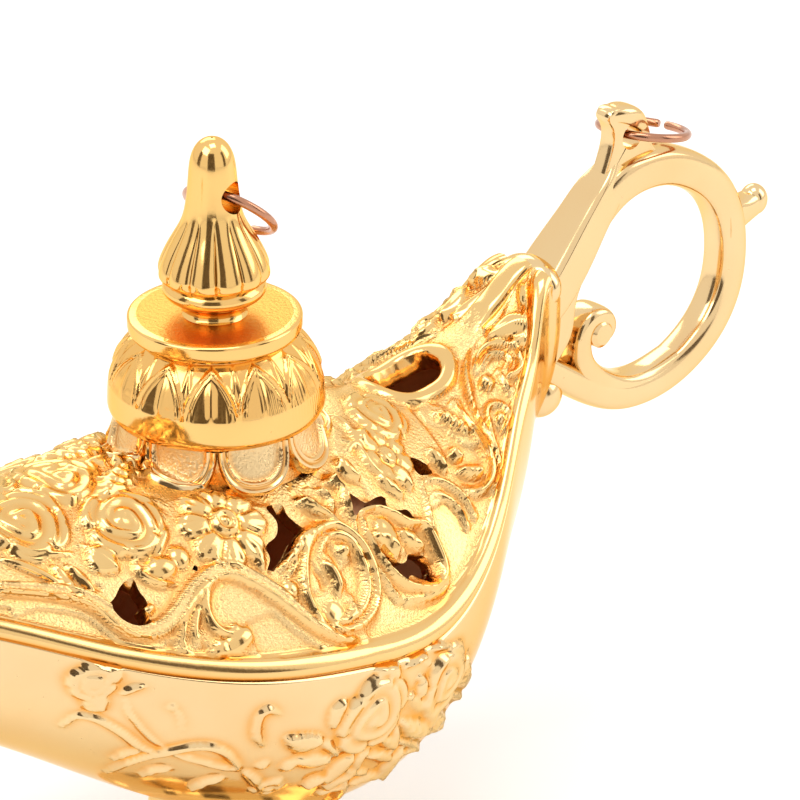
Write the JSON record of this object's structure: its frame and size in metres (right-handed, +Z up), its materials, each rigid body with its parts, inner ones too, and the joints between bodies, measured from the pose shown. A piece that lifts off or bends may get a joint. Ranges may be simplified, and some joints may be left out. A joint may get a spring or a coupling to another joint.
{
  "type": "genie oil lamp",
  "caption": "Small genie oil lamp ornament: leaf-shaped bowl with spout, pierced floral cover, lift-off domed lid with fluted finial, scroll handle and wire jump rings on a round foot.",
  "frame": {"origin": "centre of the foot's underside, on the lid's axis, at the level of the table", "axes": "+X towards the handle and -X towards the spout, +Y to the right of someone who looks from the spout to the handle turned by a right angle, +Z up along the lid's axis"},
  "size_m": [0.1489, 0.0452, 0.0807],
  "materials": {
    "bowl": "polished gold plate on a zinc alloy die casting",
    "pierced_cover": "polished gold plate, satin grounds",
    "foot": "polished gold plate",
    "lid": "polished gold plate",
    "finial": "polished gold plate",
    "handle": "polished gold plate",
    "rings": "bright rose gold plated wire",
    "screws": "zinc plated steel"
  },
  "bodies": {
    "lamp": {"bowl": "bowl", "pierced_cover": "pierced_cover", "foot": "foot", "foot_screw": "screws", "handle": "handle", "handle_screws": "screws"},
    "lid": {"lid": "lid", "finial": "finial", "finial_screw": "screws"},
    "finial_ring": {"finial_ring": "rings"},
    "handle_ring": {"handle_ring": "rings"}
  },
  "joints": [
    {"name": "lid_lift", "type": "slide", "parent": "lamp", "child": "lid", "axis": [0, 0, 1], "range_m": [0, 0.03]},
    {"name": "finial_ring_swing", "type": "hinge", "parent": "lid", "child": "finial_ring", "pos_m": [0, 0, 0.0749], "axis": [-0.2588, 0.9659, 0], "range_deg": [-260, 0]},
    {"name": "handle_ring_swing", "type": "hinge", "parent": "lamp", "child": "handle_ring", "pos_m": [0.0565, 0, 0.0639], "axis": [-0.309, 0.9511, 0], "range_deg": [-210, 0]}
  ]
}
